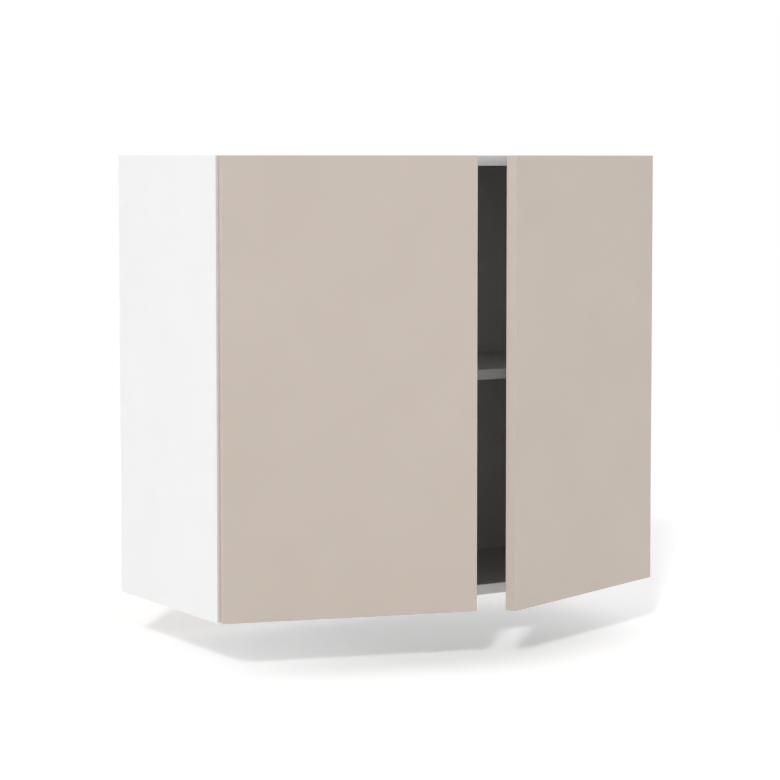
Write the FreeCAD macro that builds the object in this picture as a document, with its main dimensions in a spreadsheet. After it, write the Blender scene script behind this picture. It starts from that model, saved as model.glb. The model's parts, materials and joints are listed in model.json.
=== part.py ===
import FreeCAD, Part
import os
import re

from FreeCAD import Placement, Rotation, Vector

# Kitchen wall cabinet with two hinged doors, one loose shelf and hidden wall hangers.
# Frame: X to the viewer's right from mid-width, Y into the wall with the wall plane at 0, Z up.
# Z is 0 where the two hanger hooks bear on their wall rail.

# Driving dimensions, in millimetres and degrees
SIZES = {
    # carcass
    "carcass_width": 800,
    "carcass_height": 700,
    "carcass_depth": 330,
    "board": 16,
    "edge_band": 1,
    "back_thickness": 3,
    "back_recess": 17,
    "groove_depth": 7,
    "groove_clearance": 0.2,
    "back_edge_gap": 0.5,
    # shelf and its supports
    "shelf_height": 343,
    "shelf_setback": 13,
    "shelf_side_gap": 1,
    "shelf_back_gap": 2,
    "shelf_seat_gap": 0.1,
    "support_radius": 2.5,
    "support_depth": 9,
    "support_hole_depth": 11,
    "support_hole_clearance": 0.05,
    "support_plate": 1.5,
    "support_plate_drop": 12,
    "support_tab": 2,
    "support_tab_width": 10,
    "support_tab_reach": 10,
    "front_column": 37,
    "rear_column": 45,
    "column_pitch": 32,
    # cam and dowel joints of the carcass corners
    "cam_radius": 7.5,
    "cam_depth": 12.5,
    "cam_clearance": 0.1,
    "cam_reach": 24,
    "cam_front_inset": 60,
    "cam_rear_inset": 70,
    "cam_cover_lip": 1,
    "cam_cover_rise": 1,
    "bolt_radius": 3,
    "bolt_end": 2,
    "bolt_clearance": 0.3,
    "bolt_thread_radius": 2.5,
    "bolt_thread_depth": 10,
    "dowel_radius": 4,
    "dowel_spacing": 32,
    "dowel_in_side": 9,
    "dowel_in_panel": 21,
    "dowel_clearance": 0.1,
    "dowel_end_gap": 0.5,
    # doors
    "door_thickness": 18,
    "door_bottom_reveal": 2,
    "door_side_reveal": 1.5,
    "door_middle_gap": 3,
    "door_gap": 3,
    "door_edge_band": 1,
    "door_edge_radius": 0.8,
    "left_rest_angle": 16.2,
    "right_rest_angle": 21,
    "bumper_radius": 4.5,
    "bumper_gap": 0.3,
    "bumper_inset": 14,
    # concealed hinges
    "hinge_inset": 100,
    "pivot_from_edge": 7.3,
    "pivot_from_back": 9.5,
    "hinge_pin_radius": 1.25,
    "hinge_running_clearance": 0.05,
    "eye_radius": 2.5,
    "eye_half_height": 4.5,
    "neck_thickness": 3,
    "neck_reach": 16.2,
    "cup_radius": 17.5,
    "cup_depth": 13.5,
    "cup_wall": 0.8,
    "cup_edge": 3,
    "cup_clearance": 0.1,
    "flange_thickness": 1,
    "flange_half_length": 29,
    "flange_half_width": 11,
    "lug_half_width": 2.3,
    "lug_end": 9.5,
    "lug_clearance": 0.3,
    "cup_screw_half_spacing": 24,
    "cup_screw_offset": 4,
    "cup_screw_radius": 1.75,
    "cup_screw_length": 12,
    "cup_screw_head_radius": 3.3,
    "cup_screw_head": 1.6,
    "plate_thickness": 2,
    "plate_half_height": 24,
    "plate_half_width": 6,
    "plate_screw_half_spacing": 16,
    "plate_screw_radius": 2.5,
    "plate_screw_length": 12,
    "plate_screw_head_radius": 4,
    "plate_screw_head": 1.6,
    "rail_rise": 6,
    "rail_half_height": 6,
    "rail_front": 14,
    "rail_rear": 60,
    "arm_front": 4,
    "arm_rear": 64,
    "arm_rise": 10,
    "arm_half_height": 9,
    "arm_wall": 1.5,
    "arm_edge_radius": 2.5,
    "arm_screw_radius": 2,
    "arm_screw_head_radius": 3.8,
    "arm_screw_head": 1.4,
    "fixing_screw_inset": 54,
    "fixing_screw_length": 8,
    "adjusting_screw_inset": 20,
    "screw_clearance": 0.1,
    "recess_width": 0.9,
    "recess_depth": 0.7,
    "recess_share": 0.6,
    # wall hangers
    "hang_drop": 45,
    "hanger_width": 18,
    "hanger_depth": 40,
    "hanger_height": 60,
    "hanger_top_gap": 4,
    "hanger_back_gap": 0.5,
    "hanger_peg_radius": 5,
    "hanger_peg_length": 10,
    "hanger_peg_half_spacing": 16,
    "hook_width": 10,
    "hook_thickness": 4,
    "hook_inside": 28,
    "hook_clearance": 0.4,
    "hook_lip": 2.5,
    "hook_lip_drop": 12,
    "hook_wall_gap": 2,
    "hook_notch_clearance": 2,
    "hanger_screw_radius": 2.5,
    "hanger_screw_head_radius": 4.5,
    "hanger_screw_head": 2,
    "hanger_screw_drop": 20,
    # every cut runs past the face it opens by this much
    "overrun": 1,
}
SUPPORT_ROW_COUNT = 5
SIDES = ("left", "right")
TO_MIDDLE = {"left": Vector(1, 0, 0), "right": Vector(-1, 0, 0)}

doc = FreeCAD.newDocument("wall_cabinet")
sheet = doc.addObject("Spreadsheet::Sheet", "dims")
for row, (alias, value) in enumerate(SIZES.items(), start=1):
    sheet.set(f"A{row}", alias)
    sheet.set(f"B{row}", str(value))
    sheet.setAlias(f"B{row}", alias)
doc.recompute()

subparts = []

# Places that many pieces share, as expressions of the sheet's cells
UNDERSIDE = "(hang_drop - carcass_height)"
TOP_FACE = "hang_drop"
FLOOR = f"({UNDERSIDE} + board)"
CEILING = "(hang_drop - board)"
FRONT = "(-carcass_depth)"
BAND_BACK = "(edge_band - carcass_depth)"
BACK_FRONT = "(-back_recess - back_thickness)"
OUTER = "(-carcass_width / 2)"
INNER = "(board - carcass_width / 2)"
SHELF_UNDERSIDE = f"({UNDERSIDE} + shelf_height)"
DOOR_BOTTOM = f"({UNDERSIDE} + door_bottom_reveal)"
DOOR_TOP = TOP_FACE
HINGE_LEVELS = {
    "upper": f"({DOOR_TOP} - hinge_inset)",
    "lower": f"({DOOR_BOTTOM} + hinge_inset)",
}
AXIS_X = "(door_side_reveal + pivot_from_edge - carcass_width / 2)"
AXIS_Y = "(-carcass_depth - door_gap - pivot_from_back)"

ALONG = {
    "x": Rotation(Vector(0, 1, 0), 90),
    "y": Rotation(Vector(1, 0, 0), -90),
    "z": Rotation(),
}


def bind(item, prop, text):
    """Bind a property to an expression in which sheet aliases are plain words."""
    words = lambda found: f"dims.{found.group()}" if found.group() in SIZES else found.group()
    item.setExpression(prop, re.sub(r"[a-z_]+", words, text))


def block(name, x, y, z):
    """A box between the two ends given along each axis."""
    solid = doc.addObject("Part::Box", name)
    for prop, axis, (low, high) in (("Length", "x", x), ("Width", "y", y), ("Height", "z", z)):
        bind(solid, prop, f"({high}) - ({low})")
        bind(solid, f"Placement.Base.{axis}", low)
    return solid


def rod(name, radius, along, span, **centre):
    """A cylinder along one axis between the ends of span, round a centre on the other two axes."""
    solid = doc.addObject("Part::Cylinder", name)
    solid.Placement = Placement(Vector(), ALONG[along])
    low, high = span
    bind(solid, "Radius", radius)
    bind(solid, "Height", f"({high}) - ({low})")
    bind(solid, f"Placement.Base.{along}", low)
    for axis, place in centre.items():
        bind(solid, f"Placement.Base.{axis}", place)
    return solid


def join(name, solids):
    """One solid made of several that meet or overlap."""
    result = doc.addObject("Part::MultiFuse", name)
    result.Shapes = solids
    return result


def overlap(name, base, tool):
    """What two solids have in common."""
    result = doc.addObject("Part::Common", name)
    result.Base = base
    result.Tool = tool
    return result


def group(name, solids):
    """Separate solids kept together."""
    result = doc.addObject("Part::Compound", name)
    result.Links = solids
    return result


def cut(name, base, tools):
    """A solid less its tools."""
    result = doc.addObject("Part::Cut", name)
    result.Base = base
    result.Tool = join(f"{name}_tools", tools) if len(tools) > 1 else tools[0]
    return result


def eased(solid, outward, radius_name):
    """A long block whose long edges on its outward face are rounded."""
    doc.recompute([solid])
    middle = solid.Shape.CenterOfMass
    longest = max(edge.Length for edge in solid.Shape.Edges)
    is_long = lambda edge: edge.Length > longest / 2
    is_outer = lambda edge: (edge.CenterOfMass - middle).dot(outward) > 0
    radius = float(sheet.get(radius_name))
    result = doc.addObject("Part::Fillet", f"{solid.Name}_eased")
    result.Base = solid
    result.Edges = [(number, radius, radius) for number, edge in enumerate(solid.Shape.Edges, start=1)
                    if is_long(edge) and is_outer(edge)]
    return result


def keep(label, item):
    """Hand in an object as the sub-part of this name."""
    item.Label = label
    subparts.append(item)


def hand(side, low, high):
    """A span written for the left of the cabinet, mirrored when the side is right."""
    return (low, high) if side == "left" else (f"-({high})", f"-({low})")


def spot(side, place):
    """A place written for the left of the cabinet, mirrored when the side is right."""
    return place if side == "left" else f"-({place})"


def cross_recess(name, along, face, inward, radius, **centre):
    """The two slots of a cross recess in a screw head whose outer face lies at face."""
    floor = f"{face} + ({inward}) * recess_depth"
    mouth = f"{face} - ({inward}) * overrun"
    ends = (floor, mouth) if inward == "-1" else (mouth, floor)
    slots = []
    for long_axis in centre:
        spans = {along: ends}
        for axis, place in centre.items():
            half = f"{radius} * recess_share" if axis == long_axis else "recess_width / 2"
            spans[axis] = (f"{place} - {half}", f"{place} + {half}")
        slots.append(block(f"{name}_slot_{long_axis}", spans["x"], spans["y"], spans["z"]))
    return slots


def screw(name, along, face, inward, head, shank, **centre):
    """A cross-head screw seated on a face, with its shank going in; head and shank are (radius, length)."""
    step = "+" if inward == "1" else "-"
    back = "-" if inward == "1" else "+"
    outer = f"{face} {back} {head[1]}"
    tip = f"{face} {step} {shank[1]}"
    order = (lambda a, b: (a, b)) if inward == "1" else (lambda a, b: (b, a))
    cap = rod(f"{name}_head", head[0], along, order(outer, face), **centre)
    stem = rod(f"{name}_shank", shank[0], along, order(face, tip), **centre)
    recess = cross_recess(name, along, outer, inward, head[0], **centre)
    return cut(name, join(f"{name}_blank", [cap, stem]), recess)


# Carcass corner fittings: where each cam, bolt and dowel lies
CORNER_DEPTHS = {
    "front": ("(cam_front_inset - carcass_depth)", "+ dowel_spacing"),
    "rear": ("(-cam_rear_inset)", "- dowel_spacing"),
}
PANEL_SPANS = {
    "top": (CEILING, TOP_FACE),
    "bottom": (UNDERSIDE, FLOOR),
}


def corner_places():
    """Name, panel, side, the panel's span in height, and the depths of cam and dowel, corner by corner."""
    for panel, span in PANEL_SPANS.items():
        for side in SIDES:
            for depth_name, (cam_y, step) in CORNER_DEPTHS.items():
                yield f"{panel}_{side}_{depth_name}", panel, side, span, cam_y, f"({cam_y} {step})"


def corner_holes():
    """The cuts that the corner fittings need, sorted by the board that they go into."""
    holes = {"top": [], "bottom": [], "left": [], "right": []}
    for name, panel, side, (low, high), cam_y, dowel_y in corner_places():
        middle = f"({low} + board / 2)"
        cam_x = spot(side, f"{INNER} + cam_reach")
        holes[panel].append(rod(f"{name}_cam_bore", "cam_radius + cam_clearance", "z",
                                (f"{high} - cam_depth", f"{high} + overrun"), x=cam_x, y=cam_y))
        holes[panel].append(rod(f"{name}_bolt_bore", "bolt_radius + bolt_clearance", "x",
                                hand(side, f"{INNER} - overrun", f"{INNER} + cam_reach"), y=cam_y, z=middle))
        dowel_floor = f"{INNER} + dowel_in_panel + dowel_end_gap"
        holes[panel].append(rod(f"{name}_dowel_bore", "dowel_radius + dowel_clearance", "x",
                                hand(side, f"{INNER} - overrun", dowel_floor), y=dowel_y, z=middle))
        holes[side].append(rod(f"{name}_thread_bore", "bolt_thread_radius + screw_clearance", "x",
                               hand(side, f"{INNER} - bolt_thread_depth - dowel_end_gap",
                                    f"{INNER} + overrun"), y=cam_y, z=middle))
        holes[side].append(rod(f"{name}_dowel_seat", "dowel_radius + dowel_clearance", "x",
                               hand(side, f"{INNER} - dowel_in_side - dowel_end_gap", f"{INNER} + overrun"),
                               y=dowel_y, z=middle))
    return holes


def corner_fittings():
    """Cams, the covers of those inside, cam bolts and wooden dowels of the carcass corners."""
    cams = []
    bolts = []
    dowels = []
    covers = []
    for name, panel, side, (low, high), cam_y, dowel_y in corner_places():
        middle = f"({low} + board / 2)"
        cam_x = spot(side, f"{INNER} + cam_reach")
        disc = rod(f"{name}_cam_disc", "cam_radius", "z", (f"{high} - cam_depth", high), x=cam_x, y=cam_y)
        mouth = rod(f"{name}_cam_mouth", "bolt_radius + bolt_clearance", "x",
                    hand(side, f"{INNER} + cam_reach - cam_radius - overrun",
                         f"{INNER} + cam_reach + bolt_end + bolt_clearance"), y=cam_y, z=middle)
        recess = cross_recess(f"{name}_cam", "z", high, "-1", "cam_radius", x=cam_x, y=cam_y)
        cams.append(cut(f"{name}_cam", disc, [mouth] + recess))
        if panel == "bottom":
            covers.append(rod(f"{name}_cover", "cam_radius + cam_cover_lip", "z",
                              (high, f"{high} + cam_cover_rise"), x=cam_x, y=cam_y))
        thread = rod(f"{name}_bolt_thread", "bolt_thread_radius", "x",
                     hand(side, f"{INNER} - bolt_thread_depth", INNER), y=cam_y, z=middle)
        stem = rod(f"{name}_bolt_stem", "bolt_radius", "x",
                   hand(side, INNER, f"{INNER} + cam_reach + bolt_end"), y=cam_y, z=middle)
        bolts.append(join(f"{name}_bolt", [thread, stem]))
        dowels.append(rod(f"{name}_dowel", "dowel_radius", "x",
                          hand(side, f"{INNER} - dowel_in_side", f"{INNER} + dowel_in_panel"),
                          y=dowel_y, z=middle))
    keep("cam_locks", group("cam_lock_set", cams))
    keep("cam_covers", group("cam_cover_set", covers))
    keep("cam_bolts", group("cam_bolt_set", bolts))
    keep("wooden_dowels", group("wooden_dowel_set", dowels))


# Shelf supports: a peg in the side's hole row with a plate and a tab under the shelf
SUPPORT_DEPTHS = {
    "front": "(front_column - carcass_depth)",
    "rear": f"({BACK_FRONT} - rear_column)",
}
TAB_TOP = f"({SHELF_UNDERSIDE} - shelf_seat_gap)"
PEG_LEVEL = f"({TAB_TOP} - support_plate_drop / 2)"


def support_holes(side):
    """Both columns of support holes in one side panel."""
    holes = []
    for depth_name, place in SUPPORT_DEPTHS.items():
        for step in range(-(SUPPORT_ROW_COUNT // 2), SUPPORT_ROW_COUNT // 2 + 1):
            holes.append(rod(f"{side}_{depth_name}_support_hole",
                             "support_radius + support_hole_clearance", "x",
                             hand(side, f"{INNER} - support_hole_depth", f"{INNER} + overrun"),
                             y=place, z=f"{PEG_LEVEL} + ({step}) * column_pitch"))
    return holes


def shelf_and_supports():
    """The loose shelf with its front band, and the four supports that it lies on."""
    shelf_front = "(shelf_setback - carcass_depth)"
    shelf_band_back = f"({shelf_front} + edge_band)"
    width = (f"{INNER} + shelf_side_gap", f"-({INNER} + shelf_side_gap)")
    height = (SHELF_UNDERSIDE, f"{SHELF_UNDERSIDE} + board")
    keep("shelf", block("shelf_board", width, (shelf_band_back, f"{BACK_FRONT} - shelf_back_gap"), height))
    keep("shelf_edge_band", block("shelf_band", width, (shelf_front, shelf_band_back), height))
    supports = []
    for side in SIDES:
        for depth_name, place in SUPPORT_DEPTHS.items():
            name = f"{side}_{depth_name}_support"
            width_span = (f"{place} - support_tab_width / 2", f"{place} + support_tab_width / 2")
            peg = rod(f"{name}_peg", "support_radius", "x",
                      hand(side, f"{INNER} - support_depth", f"{INNER} + support_plate"),
                      y=place, z=PEG_LEVEL)
            plate = block(f"{name}_plate", hand(side, INNER, f"{INNER} + support_plate"), width_span,
                          (f"{TAB_TOP} - support_plate_drop", TAB_TOP))
            tab = block(f"{name}_tab", hand(side, INNER, f"{INNER} + support_tab_reach"), width_span,
                        (f"{TAB_TOP} - support_tab", TAB_TOP))
            supports.append(join(name, [peg, plate, tab]))
    keep("shelf_supports", group("shelf_support_set", supports))


# Concealed hinges, fixed half: mounting plate, arm with its neck, and their screws
PLATE_TOP = f"({INNER} + plate_thickness)"
RAIL_TOP = f"({PLATE_TOP} + rail_rise)"
ARM_TOP = f"({PLATE_TOP} + arm_rise)"
PLATE_Y = "(front_column - carcass_depth)"
FIXING_Y = "(fixing_screw_inset - carcass_depth)"
ADJUSTING_Y = "(adjusting_screw_inset - carcass_depth)"


def both_ways(level, half):
    """The span that reaches half above and below a level."""
    return f"{level} - {half}", f"{level} + {half}"


def mounting_plate(side, name, level):
    """Cross-shaped plate screwed to the side panel, with a raised rail under the arm."""
    straight = "(plate_half_height - plate_half_width)"
    wing = [block(f"{name}_wing", hand(side, INNER, PLATE_TOP), both_ways(PLATE_Y, "plate_half_width"),
                  both_ways(level, straight))]
    for sign in ("-", "+"):
        wing.append(rod(f"{name}_wing_end", "plate_half_width", "x", hand(side, INNER, PLATE_TOP),
                        y=PLATE_Y, z=f"{level} {sign} {straight}"))
    rail = block(f"{name}_rail", hand(side, INNER, RAIL_TOP),
                 ("rail_front - carcass_depth", "rail_rear - carcass_depth"),
                 both_ways(level, "rail_half_height"))
    through = hand(side, f"{INNER} - overrun", f"{RAIL_TOP} + overrun")
    holes = [rod(f"{name}_fixing_hole", "arm_screw_radius + screw_clearance", "x", through,
                 y=FIXING_Y, z=level)]
    for sign in ("-", "+"):
        holes.append(rod(f"{name}_screw_hole", "plate_screw_radius + screw_clearance", "x", through,
                         y=PLATE_Y, z=f"{level} {sign} plate_screw_half_spacing"))
    blank = join(f"{name}_plate_blank", wing + [rail])
    keep(f"{name}_plate", cut(f"{name}_plate_solid", blank, holes))


def hinge_arm(side, name, level):
    """Channel-shaped arm over the plate, with a cranked neck that ends in an eye round the hinge pin."""
    channel = block(f"{name}_channel", hand(side, PLATE_TOP, ARM_TOP),
                    ("arm_front - carcass_depth", "arm_rear - carcass_depth"),
                    both_ways(level, "arm_half_height"))
    hollow = block(f"{name}_hollow", hand(side, f"{PLATE_TOP} - overrun", f"{ARM_TOP} - arm_wall"),
                   ("arm_front + arm_wall - carcass_depth", "arm_rear + overrun - carcass_depth"),
                   both_ways(level, "(arm_half_height - arm_wall)"))
    shell = cut(f"{name}_shell", eased(channel, TO_MIDDLE[side], "arm_edge_radius"), [hollow])
    tall = both_ways(level, "eye_half_height")
    low_face = f"{AXIS_Y} - eye_radius"
    eye = rod(f"{name}_eye", "eye_radius", "z", tall, x=spot(side, AXIS_X), y=AXIS_Y)
    foot = block(f"{name}_foot", hand(side, AXIS_X, f"{AXIS_X} + neck_reach"),
                 (low_face, f"{low_face} + neck_thickness"), tall)
    leg = block(f"{name}_leg",
                hand(side, f"{AXIS_X} + neck_reach - neck_thickness", f"{AXIS_X} + neck_reach"),
                (low_face, "arm_front + arm_wall - carcass_depth"), tall)
    through = hand(side, f"{PLATE_TOP} - overrun", f"{ARM_TOP} + overrun")
    holes = [rod(f"{name}_pin_bore", "hinge_pin_radius + hinge_running_clearance", "z",
                 (f"{level} - eye_half_height - overrun", f"{level} + eye_half_height + overrun"),
                 x=spot(side, AXIS_X), y=AXIS_Y)]
    for place in (FIXING_Y, ADJUSTING_Y):
        holes.append(rod(f"{name}_screw_hole", "arm_screw_radius + screw_clearance", "x", through,
                         y=place, z=level))
    blank = join(f"{name}_arm_blank", [shell, eye, foot, leg])
    keep(f"{name}_arm", cut(f"{name}_arm_solid", blank, holes))


def fixed_hinge_screws(side, name, level):
    """The plate's two wood screws and the arm's fixing and adjusting screws."""
    inward = "-1" if side == "left" else "1"
    plate_head = ("plate_screw_head_radius", "plate_screw_head")
    plate_shank = ("plate_screw_radius", "plate_screw_length")
    plate_screws = []
    for sign in ("-", "+"):
        plate_screws.append(screw(f"{name}_plate_screw", "x", spot(side, PLATE_TOP), inward,
                                  plate_head, plate_shank,
                                  y=PLATE_Y, z=f"({level} {sign} plate_screw_half_spacing)"))
    arm_head = ("arm_screw_head_radius", "arm_screw_head")
    arm_screws = []
    for kind, place, length in (("fixing", FIXING_Y, "fixing_screw_length"),
                                ("adjusting", ADJUSTING_Y, "(arm_rise - rail_rise)")):
        arm_screws.append(screw(f"{name}_{kind}_screw", "x", spot(side, ARM_TOP), inward, arm_head,
                                ("arm_screw_radius", length), y=place, z=level))
    return plate_screws, arm_screws


def plate_screw_holes(side):
    """Pilot holes of the plates' wood screws in one side panel."""
    holes = []
    tip = f"{PLATE_TOP} - plate_screw_length - dowel_end_gap"
    for level_name, level in HINGE_LEVELS.items():
        for sign in ("-", "+"):
            holes.append(rod(f"{side}_{level_name}_pilot", "plate_screw_radius + screw_clearance", "x",
                             hand(side, tip, f"{INNER} + overrun"),
                             y=PLATE_Y, z=f"{level} {sign} plate_screw_half_spacing"))
    return holes


def fixed_hinge_halves():
    """All four hinges' pieces that stay on the carcass."""
    plate_screws = []
    arm_screws = []
    for side in SIDES:
        for level_name, level in HINGE_LEVELS.items():
            name = f"{side}_{level_name}_hinge"
            mounting_plate(side, name, level)
            hinge_arm(side, name, level)
            new_plate_screws, new_arm_screws = fixed_hinge_screws(side, name, level)
            plate_screws += new_plate_screws
            arm_screws += new_arm_screws
    keep("hinge_plate_screws", group("hinge_plate_screw_set", plate_screws))
    keep("hinge_arm_screws", group("hinge_arm_screw_set", arm_screws))


# Wall hangers: a housing pegged to the side panel with a hook through the back panel
HANGER_TOP = f"({CEILING} - hanger_top_gap)"
HANGER_BACK = f"({BACK_FRONT} - hanger_back_gap)"
HANGER_FRONT = f"({HANGER_BACK} - hanger_depth)"
HANGER_MIDDLE = f"({INNER} + hanger_width / 2)"
HOOK_FRONT = f"({HANGER_BACK} - hook_inside)"
PEG_CENTRE = f"({HANGER_TOP} - hanger_height / 2)"


def hanger_peg(side, sign, slack, end_slack):
    """One round peg of a housing, or with slack the hole that it sits in."""
    far = f"{INNER} - hanger_peg_length - {end_slack}"
    near = f"{INNER} + overrun"
    return rod(f"{side}_hanger_peg", f"hanger_peg_radius + {slack}", "x", hand(side, far, near),
               y=f"{HANGER_FRONT} + hanger_depth / 2", z=f"{PEG_CENTRE} {sign} hanger_peg_half_spacing")


def hanger_peg_holes(side):
    """Holes for a housing's pegs in one side panel."""
    return [hanger_peg(side, sign, "dowel_clearance", "dowel_end_gap") for sign in ("-", "+")]


def hook_span(side, slack):
    """Width of the hook, or with slack of the space that it passes through."""
    half = f"(hook_width / 2 + {slack})"
    return hand(side, f"{HANGER_MIDDLE} - {half}", f"{HANGER_MIDDLE} + {half}")


def wall_hanger(side):
    """Housing, hook and the screws that set the hook's depth and height."""
    name = f"{side}_hanger"
    box = block(f"{name}_box", hand(side, INNER, f"{INNER} + hanger_width"), (HANGER_FRONT, HANGER_BACK),
                (f"{HANGER_TOP} - hanger_height", HANGER_TOP))
    pegs = [hanger_peg(side, sign, "0", "0") for sign in ("-", "+")]
    channel = block(f"{name}_channel", hook_span(side, "hook_clearance"),
                    (f"{HOOK_FRONT} - hook_clearance", f"{HANGER_BACK} + overrun"),
                    ("-hook_clearance", "hook_thickness"))
    screws = []
    holes = []
    for kind, level in (("depth", "(hook_thickness / 2)"), ("height", "(-hanger_screw_drop)")):
        shank = ("hanger_screw_radius", f"({HOOK_FRONT} - {HANGER_FRONT} - hook_clearance)")
        screws.append(screw(f"{name}_{kind}_screw", "y", HANGER_FRONT, "1",
                            ("hanger_screw_head_radius", "hanger_screw_head"), shank,
                            x=spot(side, HANGER_MIDDLE), z=level))
        holes.append(rod(f"{name}_{kind}_hole", "hanger_screw_radius + screw_clearance", "y",
                         (f"{HANGER_FRONT} - overrun", HOOK_FRONT), x=spot(side, HANGER_MIDDLE), z=level))
    keep(f"{name}_housing", cut(f"{name}_solid", join(f"{name}_blank", [box] + pegs), [channel] + holes))
    arm = block(f"{name}_hook_arm", hook_span(side, "0"), (HOOK_FRONT, "-hook_wall_gap"),
                ("0", "hook_thickness"))
    lip = block(f"{name}_hook_lip", hook_span(side, "0"), ("-hook_wall_gap - hook_lip", "-hook_wall_gap"),
                ("-hook_lip_drop", "hook_thickness"))
    keep(f"{name}_hook", join(f"{name}_hook_solid", [arm, lip]))
    return screws


# Carcass boards
def side_panel(side, holes):
    """One side, with the back panel's groove and every hole of its fittings, and its front band."""
    height = (UNDERSIDE, TOP_FACE)
    board = block(f"{side}_side_board", hand(side, OUTER, INNER), (BAND_BACK, "0"), height)
    groove = block(f"{side}_side_groove", hand(side, f"{INNER} - groove_depth", f"{INNER} + overrun"),
                   (f"{BACK_FRONT} - groove_clearance", "-back_recess + groove_clearance"),
                   (f"{FLOOR} - groove_depth", f"{CEILING} + groove_depth"))
    tools = [groove] + holes + support_holes(side) + plate_screw_holes(side) + hanger_peg_holes(side)
    keep(f"{side}_side_panel", cut(f"{side}_side_solid", board, tools))
    keep(f"{side}_side_edge_band",
         block(f"{side}_side_band", hand(side, OUTER, INNER), (FRONT, BAND_BACK), height))


def flat_panel(panel, holes):
    """The top or the bottom between the sides, with the back panel's groove in its inner face."""
    low, high = PANEL_SPANS[panel]
    width = (INNER, f"-({INNER})")
    board = block(f"{panel}_board", width, (BAND_BACK, "0"), (low, high))
    inner_ends = {"top": (f"{low} - overrun", f"{low} + groove_depth"),
                  "bottom": (f"{high} - groove_depth", f"{high} + overrun")}
    groove = block(f"{panel}_groove", (f"{INNER} - overrun", f"-({INNER} - overrun)"),
                   (f"{BACK_FRONT} - groove_clearance", "-back_recess + groove_clearance"),
                   inner_ends[panel])
    keep(f"{panel}_panel", cut(f"{panel}_solid", board, [groove] + holes))
    keep(f"{panel}_edge_band", block(f"{panel}_band", width, (FRONT, BAND_BACK), (low, high)))


def back_panel():
    """Thin back held in the grooves, with a slot for each hanger hook."""
    reach = "(groove_depth - back_edge_gap)"
    board = block("back_board", (f"{INNER} - {reach}", f"-({INNER} - {reach})"),
                  (BACK_FRONT, "-back_recess"), (f"{FLOOR} - {reach}", f"{CEILING} + {reach}"))
    notches = []
    for side in SIDES:
        notches.append(block(f"{side}_hook_slot", hook_span(side, "hook_notch_clearance"),
                             (f"{BACK_FRONT} - overrun", "-back_recess + overrun"),
                             ("-hook_notch_clearance", "hook_thickness + hook_notch_clearance")))
    keep("back_panel", cut("back_solid", board, notches))


# Doors, modelled about their own hinge axis and then turned to the angle at which they stand
DOOR_OUTER = "(-pivot_from_edge)"
DOOR_FREE = "(carcass_width / 2 - door_side_reveal - door_middle_gap / 2 - pivot_from_edge)"
DOOR_BACK = "pivot_from_back"
DOOR_FRONT = "(pivot_from_back - door_thickness)"
CUP_X = "(cup_edge + cup_radius - pivot_from_edge)"
CUP_SCREW_X = f"({CUP_X} + cup_screw_offset)"
FLANGE_TOP = "(pivot_from_back + flange_thickness)"


def hang(side, label, item):
    """Set a door piece on its hinge axis at the angle at which the door stands, and hand it in."""
    turn = {"left": "-left_rest_angle", "right": "right_rest_angle"}
    # a turn that isn't zero keeps its upright axis until the angle is bound
    item.Placement = Placement(Vector(), Rotation(Vector(0, 0, 1), 1))
    bind(item, "Placement.Base.x", spot(side, AXIS_X))
    bind(item, "Placement.Base.y", AXIS_Y)
    bind(item, "Placement.Rotation.Angle", turn[side])
    keep(label, item)


def hinge_cup(side, level_name, level):
    """Steel cup with a screwed flange and two lugs that hold the hinge pin."""
    name = f"{side}_{level_name}_hinge_cup"
    cup_x = spot(side, CUP_X)
    wall = rod(f"{name}_wall", "cup_radius", "y", (f"{DOOR_BACK} - cup_depth", DOOR_BACK), x=cup_x, z=level)
    straight = "(flange_half_length - flange_half_width)"
    flange = [block(f"{name}_flange",
                    hand(side, f"{CUP_X} - flange_half_width", f"{CUP_X} + flange_half_width"),
                    (DOOR_BACK, FLANGE_TOP), both_ways(level, straight))]
    for sign in ("-", "+"):
        flange.append(rod(f"{name}_flange_end", "flange_half_width", "y", (DOOR_BACK, FLANGE_TOP),
                          x=cup_x, z=f"{level} {sign} {straight}"))
    rim = rod(f"{name}_rim", "cup_radius", "y", (DOOR_BACK, FLANGE_TOP), x=cup_x, z=level)
    hollow = rod(f"{name}_hollow", "cup_radius - cup_wall", "y",
                 (f"{DOOR_BACK} - cup_depth + cup_wall", f"{FLANGE_TOP} + overrun"), x=cup_x, z=level)
    shell = cut(f"{name}_shell", join(f"{name}_blank", [wall, rim] + flange), [hollow])
    width = ("-lug_half_width", "lug_half_width")
    depth = (f"{DOOR_BACK} - cup_depth", "lug_half_width")
    lug_start = "(eye_half_height + lug_clearance)"
    lugs = [block(f"{name}_upper_lug", width, depth, (f"{level} + {lug_start}", f"{level} + lug_end")),
            block(f"{name}_lower_lug", width, depth, (f"{level} - lug_end", f"{level} - {lug_start}"))]
    fitted_lugs = overlap(f"{name}_lugs", join(f"{name}_lug_pair", lugs), wall)
    holes = [rod(f"{name}_pin_bore", "hinge_pin_radius", "z",
                 (f"{level} - lug_end", f"{level} + lug_end"), x="0", y="0")]
    for sign in ("-", "+"):
        holes.append(rod(f"{name}_screw_hole", "cup_screw_radius + screw_clearance", "y",
                         (f"{DOOR_BACK} - overrun", f"{FLANGE_TOP} + overrun"), x=spot(side, CUP_SCREW_X),
                         z=f"{level} {sign} cup_screw_half_spacing"))
    hang(side, name, cut(f"{name}_solid", join(f"{name}_body", [shell, fitted_lugs]), holes))


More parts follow.
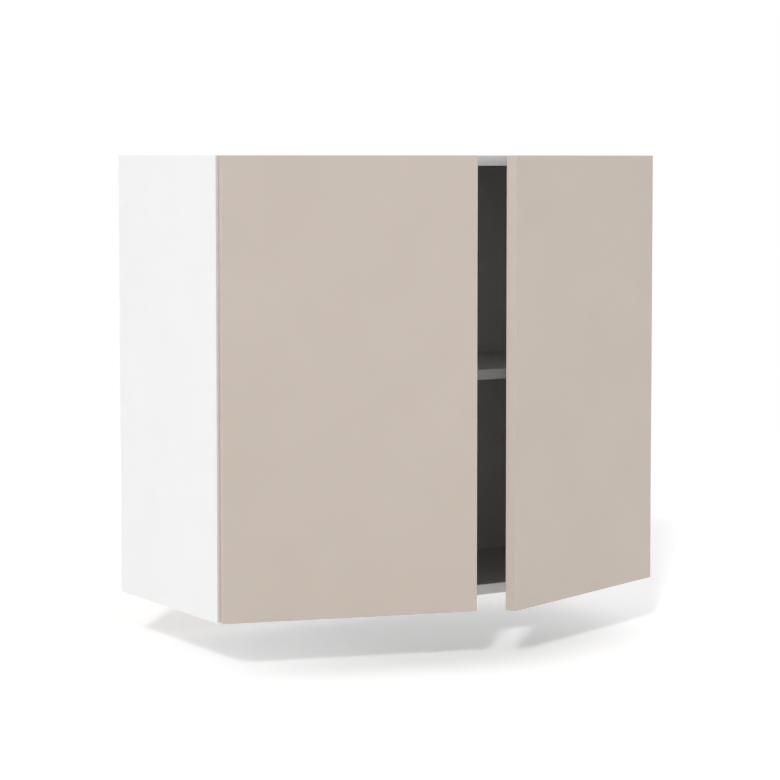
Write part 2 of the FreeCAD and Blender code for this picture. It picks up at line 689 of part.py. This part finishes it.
def door_bands(side):
    """Four edge bands of a door, the upright ones over the ends of the others, with eased outer edges."""
    inner = (f"{DOOR_OUTER} + door_edge_band", f"{DOOR_FREE} - door_edge_band")
    depth = (DOOR_FRONT, DOOR_BACK)
    tall = (DOOR_BOTTOM, DOOR_TOP)
    hinge_band = block(f"{side}_door_hinge_band", hand(side, DOOR_OUTER, inner[0]), depth, tall)
    free_band = block(f"{side}_door_free_band", hand(side, inner[1], DOOR_FREE), depth, tall)
    bottom_band = block(f"{side}_door_bottom_band", hand(side, *inner), depth,
                        (DOOR_BOTTOM, f"{DOOR_BOTTOM} + door_edge_band"))
    top_band = block(f"{side}_door_top_band", hand(side, *inner), depth,
                     (f"{DOOR_TOP} - door_edge_band", DOOR_TOP))
    to_free_edge = TO_MIDDLE[side]
    up = Vector(0, 0, 1)
    outward = ((hinge_band, -to_free_edge), (free_band, to_free_edge), (bottom_band, -up), (top_band, up))
    return [eased(band, direction, "door_edge_radius") for band, direction in outward]


def door(side):
    """Door panel with its bands, cups, pins, screws and bumpers."""
    core = block(f"{side}_door_core",
                 hand(side, f"{DOOR_OUTER} + door_edge_band", f"{DOOR_FREE} - door_edge_band"),
                 (DOOR_FRONT, DOOR_BACK),
                 (f"{DOOR_BOTTOM} + door_edge_band", f"{DOOR_TOP} - door_edge_band"))
    bores = []
    pins = []
    screws = []
    for level_name, level in HINGE_LEVELS.items():
        name = f"{side}_{level_name}_hinge"
        bores.append(rod(f"{name}_cup_bore", "cup_radius + cup_clearance", "y",
                         (f"{DOOR_BACK} - cup_depth - cup_clearance", f"{DOOR_BACK} + overrun"),
                         x=spot(side, CUP_X), z=level))
        hinge_cup(side, level_name, level)
        pins.append(rod(f"{name}_pin", "hinge_pin_radius", "z", (f"{level} - lug_end", f"{level} + lug_end"),
                        x="0", y="0"))
        for sign in ("-", "+"):
            place = f"({level} {sign} cup_screw_half_spacing)"
            screws.append(screw(f"{name}_cup_screw", "y", FLANGE_TOP, "-1",
                                ("cup_screw_head_radius", "cup_screw_head"),
                                ("cup_screw_radius", "cup_screw_length"),
                                x=spot(side, CUP_SCREW_X), z=place))
            bores.append(rod(f"{name}_cup_pilot", "cup_screw_radius + screw_clearance", "y",
                             (f"{FLANGE_TOP} - cup_screw_length - dowel_end_gap", f"{DOOR_BACK} + overrun"),
                             x=spot(side, CUP_SCREW_X), z=place))
    bumpers = []
    for level in (f"{UNDERSIDE} + board / 2", f"{TOP_FACE} - board / 2"):
        bumpers.append(rod(f"{side}_door_bumper", "bumper_radius", "y",
                           (DOOR_BACK, f"{DOOR_BACK} + door_gap - bumper_gap"),
                           x=spot(side, f"{DOOR_FREE} - bumper_inset"), z=level))
    hang(side, f"{side}_door_panel", cut(f"{side}_door_solid", core, bores))
    hang(side, f"{side}_door_edge_bands", group(f"{side}_door_band_set", door_bands(side)))
    hang(side, f"{side}_hinge_pins", group(f"{side}_hinge_pin_set", pins))
    hang(side, f"{side}_cup_screws", group(f"{side}_cup_screw_set", screws))
    hang(side, f"{side}_door_bumpers", group(f"{side}_door_bumper_set", bumpers))


def build():
    """Make every sub-part of the cabinet."""
    holes = corner_holes()
    hanger_screws = []
    for side in SIDES:
        side_panel(side, holes[side])
        hanger_screws += wall_hanger(side)
    keep("hanger_screws", group("hanger_screw_set", hanger_screws))
    for panel in PANEL_SPANS:
        flat_panel(panel, holes[panel])
    back_panel()
    corner_fittings()
    shelf_and_supports()
    fixed_hinge_halves()
    for side in SIDES:
        door(side)


build()
doc.recompute()

for item in doc.Objects:
    if "Invalid" in item.State or "Error" in item.State:
        raise RuntimeError(f"{item.Label} failed to build: {item.State}")
for item in subparts:
    if item.Shape.isNull() or not item.Shape.isValid():
        raise RuntimeError(f"{item.Label} has no valid shape")

os.makedirs("parts", exist_ok=True)
for item in subparts:
    item.Shape.exportStep(f"parts/{item.Label}.step")
print(len(subparts), "sub-parts written")
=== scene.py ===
import json
import math

import bpy
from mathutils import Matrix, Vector


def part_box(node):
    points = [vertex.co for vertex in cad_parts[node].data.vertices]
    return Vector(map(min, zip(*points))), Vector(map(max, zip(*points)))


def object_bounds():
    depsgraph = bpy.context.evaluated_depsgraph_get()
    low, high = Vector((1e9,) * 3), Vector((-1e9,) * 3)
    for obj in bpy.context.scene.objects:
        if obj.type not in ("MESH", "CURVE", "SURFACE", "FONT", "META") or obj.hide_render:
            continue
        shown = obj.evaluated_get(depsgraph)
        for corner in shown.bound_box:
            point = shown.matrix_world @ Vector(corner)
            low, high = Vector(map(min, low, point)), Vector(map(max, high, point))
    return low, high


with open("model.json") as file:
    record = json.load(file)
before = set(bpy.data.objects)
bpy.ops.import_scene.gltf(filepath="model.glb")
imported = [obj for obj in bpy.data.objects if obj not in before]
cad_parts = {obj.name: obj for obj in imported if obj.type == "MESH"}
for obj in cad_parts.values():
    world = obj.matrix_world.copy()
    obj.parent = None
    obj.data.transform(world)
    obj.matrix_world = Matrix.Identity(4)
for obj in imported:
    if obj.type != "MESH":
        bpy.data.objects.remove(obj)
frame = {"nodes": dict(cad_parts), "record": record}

CAD_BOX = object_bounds()

# Axes by number, and the two ends of an axis
X, Y, Z = 0, 1, 2
LOW, HIGH = 0, 1

# A face belongs to a side if it is this near to it, in metres, and turned towards it by this much or more
PLANE = 0.0003
SQUARE = 0.9

# Patterns take their scale from the coordinates alone, and most of their values lie in this middle range
PATTERN_SCALE = 1.0
PATTERN_LOW = 0.25
PATTERN_HIGH = 0.75

# Colours, linear
WHITE = (0.90, 0.90, 0.897, 1)
WHITE_WORN = (0.88, 0.88, 0.876, 1)
TAUPE = (0.571, 0.498, 0.433, 1)
TAUPE_DEEP = (0.551, 0.479, 0.415, 1)
# GREY and GREY_DEEP on the inside faces, shelf and back are partly painted shade for the dim inside of the
# cabinet; GREY also tones the grey plastic
GREY = (0.62, 0.62, 0.62, 1)
GREY_DEEP = (0.59, 0.59, 0.59, 1)
CHIP_PALE = (0.56, 0.43, 0.28, 1)
CHIP_DARK = (0.33, 0.22, 0.13, 1)
FIBRE_PALE = (0.36, 0.23, 0.13, 1)
FIBRE_DARK = (0.25, 0.15, 0.08, 1)
NICKEL = (0.66, 0.65, 0.63, 1)
NICKEL_DULL = (0.58, 0.57, 0.56, 1)
ZINC = (0.56, 0.56, 0.57, 1)
ZINC_DULL = (0.47, 0.47, 0.48, 1)
PLASTIC_WHITE = (0.86, 0.86, 0.85, 1)
PLASTIC_GREY = (0.50, 0.50, 0.50, 1)
BEECH_PALE = (0.70, 0.52, 0.33, 1)
BEECH_DARK = (0.56, 0.39, 0.23, 1)
CLEAR = (0.86, 0.87, 0.86, 1)
FLOOR = (0.65, 0.65, 0.65, 1)
FLOOR_SEEN = (1, 1, 1, 1)
PAPER = (1, 1, 1, 1)


def start(name, **sockets):
    """A new material, with its shader's even values set on the shader itself."""
    material = bpy.data.materials.new(name)
    material.use_nodes = True
    shader = material.node_tree.nodes["Principled BSDF"]
    for socket, value in sockets.items():
        shader.inputs[socket.replace("_", " ")].default_value = value
    return material, material.node_tree, shader


def spread(tree, per_metre, stretch=(1, 1, 1)):
    """The object's own coordinates, scaled so that one unit is one feature of the pattern."""
    place = tree.nodes.new("ShaderNodeTexCoord")
    scale = tree.nodes.new("ShaderNodeMapping")
    scale.inputs["Scale"].default_value = [per_metre * share for share in stretch]
    tree.links.new(place.outputs["Object"], scale.inputs["Vector"])
    return scale.outputs["Vector"]


def noise(tree, per_metre, detail, stretch=(1, 1, 1)):
    """Soft cloudy noise."""
    cloud = tree.nodes.new("ShaderNodeTexNoise")
    cloud.inputs["Scale"].default_value = PATTERN_SCALE
    cloud.inputs["Detail"].default_value = detail
    tree.links.new(spread(tree, per_metre, stretch), cloud.inputs["Vector"])
    return cloud.outputs["Fac"]


def flakes(tree, per_metre, stretch):
    """Cells of random tone, as pressed chips are, and the distance from their middles."""
    cells = tree.nodes.new("ShaderNodeTexVoronoi")
    cells.inputs["Scale"].default_value = PATTERN_SCALE
    tree.links.new(spread(tree, per_metre, stretch), cells.inputs["Vector"])
    return cells.outputs["Color"], cells.outputs["Distance"]


def between(tree, factor, low, high):
    """The factor's middle range stretched from low to high."""
    span = tree.nodes.new("ShaderNodeMapRange")
    span.inputs["From Min"].default_value = PATTERN_LOW
    span.inputs["From Max"].default_value = PATTERN_HIGH
    span.inputs["To Min"].default_value = low
    span.inputs["To Max"].default_value = high
    tree.links.new(factor, span.inputs["Value"])
    return span.outputs["Result"]


def tones(tree, factor, first, second):
    """A colour that runs from first to second with the factor."""
    mix = tree.nodes.new("ShaderNodeMix")
    mix.data_type = "RGBA"
    sockets = {socket.identifier: socket for socket in (*mix.inputs, *mix.outputs)}
    sockets["A_Color"].default_value = first
    sockets["B_Color"].default_value = second
    tree.links.new(factor, sockets["Factor_Float"])
    return sockets["Result_Color"]


def relief(tree, shader, height, depth, strength):
    """Small hills on the surface, depth metres high."""
    bump = tree.nodes.new("ShaderNodeBump")
    bump.inputs["Strength"].default_value = strength
    bump.inputs["Distance"].default_value = depth
    tree.links.new(height, bump.inputs["Height"])
    tree.links.new(bump.outputs["Normal"], shader.inputs["Normal"])


def dress(tree, shader, tone, first, second, sheen, smoothest, roughest):
    """Colour from one pattern, from first to second, and roughness from another."""
    colour = tones(tree, between(tree, tone, low=0, high=1), first, second)
    tree.links.new(colour, shader.inputs["Base Color"])
    tree.links.new(between(tree, sheen, smoothest, roughest), shader.inputs["Roughness"])


def pearl_board(name, first, second):
    """Melamine facing with a fine pearl grain and a faint cloudiness."""
    material, tree, shader = start(name)
    clouds = noise(tree, per_metre=14, detail=3)
    sheen = noise(tree, per_metre=220, detail=2)
    grain = noise(tree, per_metre=900, detail=3)
    dress(tree, shader, clouds, first, second, sheen, smoothest=0.42, roughest=0.52)
    relief(tree, shader, grain, depth=0.00006, strength=0.35)
    return material


def silk_board(name, first, second):
    """Smooth laminate with a silky, very slightly rippled face."""
    material, tree, shader = start(name)
    clouds = noise(tree, per_metre=9, detail=3)
    sheen = noise(tree, per_metre=120, detail=3)
    ripples = noise(tree, per_metre=160, detail=3)
    dress(tree, shader, clouds, first, second, sheen, smoothest=0.46, roughest=0.56)
    relief(tree, shader, ripples, depth=0.00008, strength=0.25)
    return material


def smooth_band(name, first, second):
    """Plastic edge band, a little glossier than the boards."""
    material, tree, shader = start(name)
    clouds = noise(tree, per_metre=60, detail=2)
    sheen = noise(tree, per_metre=400, detail=2)
    grain = noise(tree, per_metre=300, detail=2)
    dress(tree, shader, clouds, first, second, sheen, smoothest=0.36, roughest=0.46)
    relief(tree, shader, grain, depth=0.00004, strength=0.25)
    return material


def raw_chipboard(name):
    """Bare sawn chipboard: pressed flakes of straw and brown with small pits."""
    material, tree, shader = start(name)
    chips, pits = flakes(tree, per_metre=420, stretch=(1, 1, 0.6))
    sheen = noise(tree, per_metre=500, detail=2)
    dress(tree, shader, chips, CHIP_DARK, CHIP_PALE, sheen, smoothest=0.75, roughest=0.9)
    relief(tree, shader, pits, depth=0.0004, strength=0.6)
    return material


def raw_hardboard(name):
    """Bare hardboard: matted brown fibres."""
    material, tree, shader = start(name)
    fibres = noise(tree, per_metre=260, detail=6)
    sheen = noise(tree, per_metre=90, detail=3)
    grain = noise(tree, per_metre=700, detail=4)
    dress(tree, shader, fibres, FIBRE_DARK, FIBRE_PALE, sheen, smoothest=0.62, roughest=0.8)
    relief(tree, shader, grain, depth=0.0002, strength=0.5)
    return material


def turned_wood(name, first, second):
    """Straight-grained beech."""
    material, tree, shader = start(name)
    fibres = noise(tree, per_metre=500, detail=4, stretch=(0.12, 1, 1))
    sheen = noise(tree, per_metre=300, detail=2)
    grain = noise(tree, per_metre=900, detail=3, stretch=(0.15, 1, 1))
    dress(tree, shader, fibres, first, second, sheen, smoothest=0.5, roughest=0.65)
    relief(tree, shader, grain, depth=0.0001, strength=0.4)
    return material


def plated_metal(name, first, second, smoothest, roughest, per_metre):
    """Bright plated or cast metal with faint handling marks, and a grain twice as fine as they are."""
    material, tree, shader = start(name, Metallic=1.0)
    clouds = noise(tree, per_metre=180, detail=4)
    marks = noise(tree, per_metre, detail=3)
    grain = noise(tree, per_metre * 2, detail=2)
    dress(tree, shader, clouds, first, second, marks, smoothest, roughest)
    relief(tree, shader, grain, depth=0.000004, strength=0.3)
    return material


def moulded_plastic(name, first, second):
    """Moulded plastic with a fine spark-eroded grain."""
    material, tree, shader = start(name)
    clouds = noise(tree, per_metre=120, detail=2)
    sheen = noise(tree, per_metre=800, detail=2)
    grain = noise(tree, per_metre=1600, detail=2)
    dress(tree, shader, clouds, first, second, sheen, smoothest=0.38, roughest=0.5)
    relief(tree, shader, grain, depth=0.00005, strength=0.4)
    return material


def soft_bumper(name, colour):
    """Clear soft plastic that light passes through."""
    material, tree, shader = start(name, Base_Color=colour, Transmission_Weight=0.75, IOR=1.46)
    sheen = noise(tree, per_metre=500, detail=2)
    grain = noise(tree, per_metre=700, detail=2)
    tree.links.new(between(tree, sheen, low=0.18, high=0.32), shader.inputs["Roughness"])
    relief(tree, shader, grain, depth=0.00005, strength=0.3)
    return material


FINISHES = {
    "white_board": pearl_board("white_board", WHITE, WHITE_WORN),
    "white_edge": smooth_band("white_edge", WHITE, WHITE_WORN),
    # Inside finishes: pale grey, partly painted shade for the dim inside of the cabinet
    "grey_board": pearl_board("grey_board", GREY, GREY_DEEP),
    "grey_hardboard": pearl_board("grey_hardboard", GREY, GREY_DEEP),
    "taupe_board": silk_board("taupe_board", TAUPE, TAUPE_DEEP),
    "taupe_edge": smooth_band("taupe_edge", TAUPE, TAUPE_DEEP),
    "clear_rubber": soft_bumper("clear_rubber", CLEAR),
    "white_plastic": moulded_plastic("white_plastic", PLASTIC_WHITE, WHITE_WORN),
    "beech": turned_wood("beech", BEECH_PALE, BEECH_DARK),
    "grey_plastic": moulded_plastic("grey_plastic", PLASTIC_GREY, GREY),
    "zinc": plated_metal("zinc", ZINC, ZINC_DULL, smoothest=0.38, roughest=0.52, per_metre=420),
    "steel": plated_metal("steel", NICKEL, NICKEL_DULL, smoothest=0.24, roughest=0.34, per_metre=260),
}
CHIPBOARD = raw_chipboard("raw_chipboard")
HARDBOARD = raw_hardboard("raw_hardboard")


def paint_nodes():
    """Every node takes the finish of its slot in the record."""
    for subpart in frame["record"]["subparts"]:
        mesh = frame["nodes"][subpart["node"]].data
        mesh.materials.clear()
        mesh.materials.append(FINISHES[subpart["material_slot"]])
        for face in mesh.polygons:
            face.material_index = 0


def add_finish(mesh, finish):
    """One more finish for some of the mesh's faces. Gives its number there."""
    mesh.materials.append(finish)
    return len(mesh.materials) - 1


def paint_plane(node, finish, axis, end):
    """The node's outermost faces at one end of an axis take their own finish."""
    mesh = frame["nodes"][node].data
    number = add_finish(mesh, finish)
    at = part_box(node)[end][axis]
    way = (-1, 1)[end]
    for face in mesh.polygons:
        if face.normal[axis] * way > SQUARE and abs(face.center[axis] - at) < PLANE:
            face.material_index = number


def paint_bores(node, finish):
    """The walls of holes and grooves, which lie on no side of the node, take their own finish."""
    mesh = frame["nodes"][node].data
    number = add_finish(mesh, finish)
    low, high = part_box(node)
    for face in mesh.polygons:
        ends = [abs(face.center[axis] - end[axis]) for axis in (X, Y, Z) for end in (low, high)]
        if min(ends) > PLANE:
            face.material_index = number


def paint_boards():
    """Carcass boards white outside and pale grey inside, the grey partly painted shade for the dim inside
    of the cabinet; bare chipboard where they are only sawn.
    """
    inner_faces = {
        "left_side_panel": (X, HIGH),
        "right_side_panel": (X, LOW),
        "top_panel": (Z, LOW),
        "bottom_panel": (Z, HIGH),
    }
    for node, (axis, end) in inner_faces.items():
        paint_bores(node, CHIPBOARD)
        paint_plane(node, CHIPBOARD, Y, HIGH)
        # The inner faces take the pale grey, partly painted shade for the dim inside
        paint_plane(node, FINISHES["grey_board"], axis, end)
    for end in (LOW, HIGH):
        paint_plane("shelf", CHIPBOARD, X, end)
    paint_plane("shelf", CHIPBOARD, Y, HIGH)
    paint_plane("back_panel", HARDBOARD, Y, HIGH)


paint_nodes()
paint_boards()


# Stage: a pale floor a little below the cabinet that turns plain white further out, and a white surround.
# Lengths are in metres.
FLOOR_DROP = 0.083
FLOOR_HALF = 20.0
FLOOR_GLOW = 0.14
WHITE_FROM = 1.5
WHITE_BY = 3.0
WHITE_STRENGTH = 1.0
AMBIENT = 0.62

# Camera: the photograph's viewpoint in metres and degrees, and its frame in millimetres and picture widths
CAMERA_PLACE = (-2.1395, -3.6305, 0.0419)
CAMERA_DIP = 3.524
CAMERA_TURN = -31.763
CAMERA_LEVEL = 90
LENS = 115.804
SENSOR = 36.0
FRAME_SHIFT = -0.10
VIEW_REACH = 100.0


def add_object(name, data):
    """A new object in the scene."""
    thing = bpy.data.objects.new(name, data)
    bpy.context.scene.collection.objects.link(thing)
    return thing


def even(tree, kind, **sockets):
    """A shader of one kind, with the same values all over."""
    shader = tree.nodes.new(kind)
    for socket, value in sockets.items():
        shader.inputs[socket].default_value = value
    return shader.outputs[0]


def mixed(tree, factor, first, second):
    """The first shader where the factor is 0, the second where it is 1."""
    mix = tree.nodes.new("ShaderNodeMixShader")
    tree.links.new(factor, mix.inputs["Fac"])
    tree.links.new(first, mix.inputs[1])
    tree.links.new(second, mix.inputs[2])
    return mix.outputs["Shader"]


def seen(tree):
    """One for rays that show the stage itself: straight, mirrored or through something clear."""
    path = tree.nodes.new("ShaderNodeLightPath")
    total = path.outputs["Is Camera Ray"]
    for name in ("Is Glossy Ray", "Is Transmission Ray"):
        add = tree.nodes.new("ShaderNodeMath")
        add.operation = "MAXIMUM"
        tree.links.new(total, add.inputs[0])
        tree.links.new(path.outputs[name], add.inputs[1])
        total = add.outputs["Value"]
    return total


def far_out(tree):
    """Runs from 0 near the cabinet to 1 far out on the floor."""
    reach = tree.nodes.new("ShaderNodeVectorMath")
    reach.operation = "LENGTH"
    tree.links.new(spread(tree, per_metre=1), reach.inputs["Vector"])
    fade = tree.nodes.new("ShaderNodeMapRange")
    fade.inputs["From Min"].default_value = WHITE_FROM
    fade.inputs["From Max"].default_value = WHITE_BY
    tree.links.new(reach.outputs["Value"], fade.inputs["Value"])
    return fade.outputs["Result"]


def floor_material():
    """Keeps the shadow, is white where it is lit or far out, and hides nothing from below."""
    material = bpy.data.materials.new("pale_floor")
    material.use_nodes = True
    tree = material.node_tree
    tree.nodes.remove(tree.nodes["Principled BSDF"])
    matt = even(tree, "ShaderNodeBsdfDiffuse", Color=FLOOR)
    shade = even(tree, "ShaderNodeBsdfDiffuse", Color=FLOOR_SEEN)
    glow = even(tree, "ShaderNodeEmission", Color=PAPER, Strength=FLOOR_GLOW)
    white = even(tree, "ShaderNodeEmission", Color=PAPER, Strength=WHITE_STRENGTH)
    clear = even(tree, "ShaderNodeBsdfTransparent")
    both = tree.nodes.new("ShaderNodeAddShader")
    tree.links.new(shade, both.inputs[0])
    tree.links.new(glow, both.inputs[1])
    side = tree.nodes.new("ShaderNodeNewGeometry")
    shown = mixed(tree, far_out(tree), both.outputs["Shader"], white)
    above = mixed(tree, seen(tree), matt, shown)
    surface = mixed(tree, side.outputs["Backfacing"], above, clear)
    tree.links.new(surface, tree.nodes["Material Output"].inputs["Surface"])
    return material


def make_floor():
    """A wide pale floor below the cabinet."""
    level = CAD_BOX[0][Z] - FLOOR_DROP
    mesh = bpy.data.meshes.new("floor")
    corners = [(x * FLOOR_HALF, y * FLOOR_HALF, level) for x, y in ((-1, -1), (1, -1), (1, 1), (-1, 1))]
    mesh.from_pydata(corners, [], [(0, 1, 2, 3)])
    mesh.materials.append(floor_material())
    floor = add_object("floor", mesh)
    return floor


def make_surround():
    """White where it is seen, and an even soft light on the object."""
    world = bpy.data.worlds.new("surround")
    bpy.context.scene.world = world
    world.use_nodes = True
    tree = world.node_tree
    light = tree.nodes["Background"]
    light.inputs["Color"].default_value = PAPER
    light.inputs["Strength"].default_value = AMBIENT
    white = even(tree, "ShaderNodeBackground", Color=PAPER, Strength=WHITE_STRENGTH)
    surround = mixed(tree, seen(tree), light.outputs["Background"], white)
    tree.links.new(surround, tree.nodes["World Output"].inputs["Surface"])


def pointing(way):
    """The turn that makes a lamp shine along a direction."""
    return way.to_track_quat("-Z", "Y").to_euler()


def soft_box(name, place, aim, width, height, power):
    """A rectangular studio lamp at place, turned towards aim."""
    lamp = bpy.data.lights.new(name, "AREA")
    lamp.shape = "RECTANGLE"
    lamp.size = width
    lamp.size_y = height
    lamp.energy = power
    holder = add_object(name, lamp)
    holder.location = place
    holder.visible_camera = False
    holder.rotation_euler = pointing(Vector(aim) - Vector(place))


def shadow_lamp(name, floor, towards, strength, width):
    """A far lamp that draws the shadow on the floor and lights nothing else, width degrees wide."""
    lamp = bpy.data.lights.new(name, "SUN")
    lamp.energy = strength
    lamp.angle = math.radians(width)
    holder = add_object(name, lamp)
    holder.rotation_euler = pointing(-Vector(towards))
    lit = bpy.data.collections.new(name)
    lit.objects.link(floor)
    holder.light_linking.receiver_collection = lit


def make_camera():
    """The photograph's viewpoint: level with the cabinet's top, from the front left."""
    data = bpy.data.cameras.new("view")
    data.lens = LENS
    data.sensor_width = SENSOR
    data.shift_y = FRAME_SHIFT
    data.clip_end = VIEW_REACH
    camera = add_object("view", data)
    camera.location = CAMERA_PLACE
    camera.rotation_euler = (math.radians(CAMERA_LEVEL - CAMERA_DIP), 0.0, math.radians(CAMERA_TURN))
    bpy.context.scene.camera = camera


floor = make_floor()
make_surround()
shadow_lamp("shadow", floor, towards=(-0.57, -0.64, 0.52), strength=1.30, width=6.0)
soft_box("front", place=(-2.55, -4.4, -0.2), aim=(0.0, -0.3, -0.3), width=1.8, height=1.0, power=20.0)
soft_box("right", place=(2.1, -4.6, -0.1), aim=(0.2, -0.4, -0.3), width=3.0, height=1.2, power=55.0)
soft_box("left", place=(-4.7, -0.5, 0.0), aim=(-0.4, -0.2, -0.3), width=2.5, height=1.4, power=62.0)
soft_box("back", place=(1.4, 3.2, 0.0), aim=(0.0, 0.0, -0.6), width=3.0, height=0.8, power=18.0)
make_camera()
bpy.context.scene.view_settings.view_transform = "Standard"
